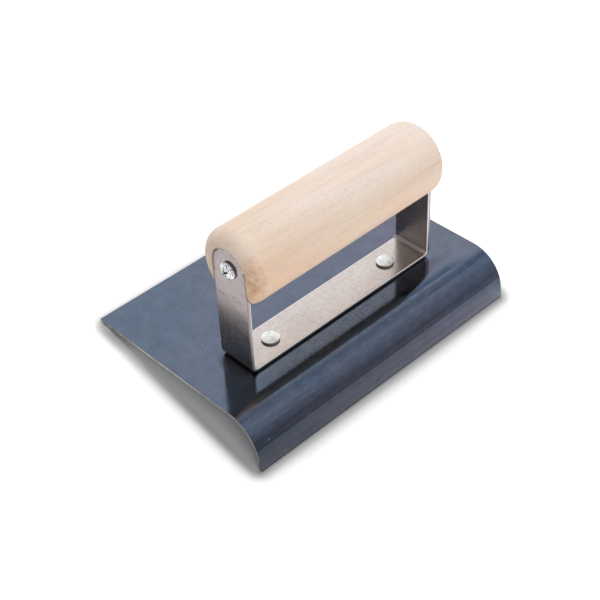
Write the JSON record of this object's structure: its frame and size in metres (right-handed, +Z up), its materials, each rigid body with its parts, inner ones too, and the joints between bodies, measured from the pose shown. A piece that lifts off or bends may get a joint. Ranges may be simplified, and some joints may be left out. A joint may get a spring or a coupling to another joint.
{
  "type": "concrete edger",
  "caption": "Hand edger for concrete: a blued sheet-steel blade with a rolled lip, and a wooden grip held in a bent steel bracket riveted to the blade.",
  "frame": {"origin": "centre of the object's outline on the surface that the tool is put down on, with the back edge and the lip's edge touching it", "axes": "+X along the handle, +Y from the rolled lip towards the back edge, +Z up from the surface"},
  "size_m": [0.15, 0.1024, 0.0797],
  "materials": {
    "blued_steel": "heat-blued cold-rolled sheet, semi-gloss",
    "bare_steel": "bare strip steel, satin, faintly stained",
    "wood": "pale hardwood, turned and sanded, unvarnished",
    "plated_screw": "bright zinc plate",
    "plated_rivet": "pale satin zinc plate"
  },
  "bodies": {
    "root": {"blade": "blued_steel", "bracket": "bare_steel", "handle": "wood", "screw_left": "plated_screw", "screw_right": "plated_screw", "rivet_left": "plated_rivet", "rivet_right": "plated_rivet"}
  },
  "joints": []
}
